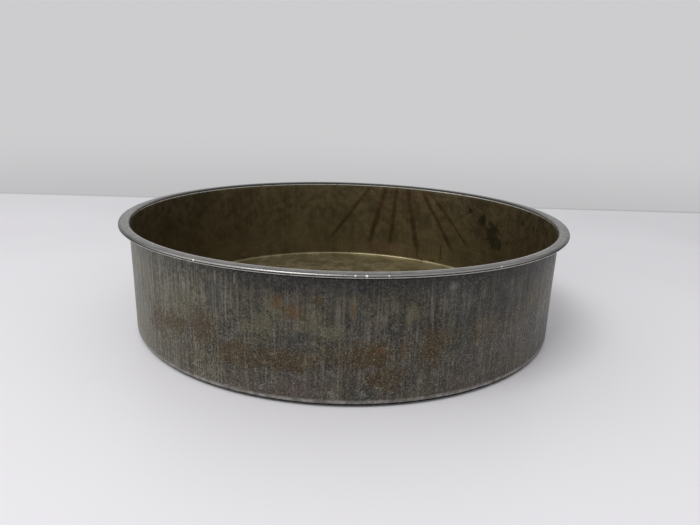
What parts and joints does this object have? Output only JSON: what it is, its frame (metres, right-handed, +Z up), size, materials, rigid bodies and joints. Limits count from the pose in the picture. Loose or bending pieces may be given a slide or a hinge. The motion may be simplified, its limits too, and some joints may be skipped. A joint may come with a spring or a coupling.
{
  "type": "round mud pan",
  "caption": "Round straight-sided sheet-steel pan with a flat bottom and an outward rolled, wired rim, for mixing and carrying mud, plaster or batter.",
  "frame": {"origin": "centre of the underside of the flat bottom, which is the bottom centre of the bounding box", "axes": "+Z up along the pan's axis, out of its open mouth; the pan is round, so X and Y have no preferred direction"},
  "size_m": [0.3192, 0.3192, 0.0762],
  "materials": {
    "tarnished_tinned_steel": "dull, tarnished tinned sheet steel, grey-brown outside and olive-brown inside, with a rubbed lighter rim",
    "rim_wire_steel": "plain drawn steel wire, hidden inside the rolled rim"
  },
  "bodies": {
    "root": {"pan_body": "tarnished_tinned_steel", "rim_wire": "rim_wire_steel"}
  },
  "joints": []
}
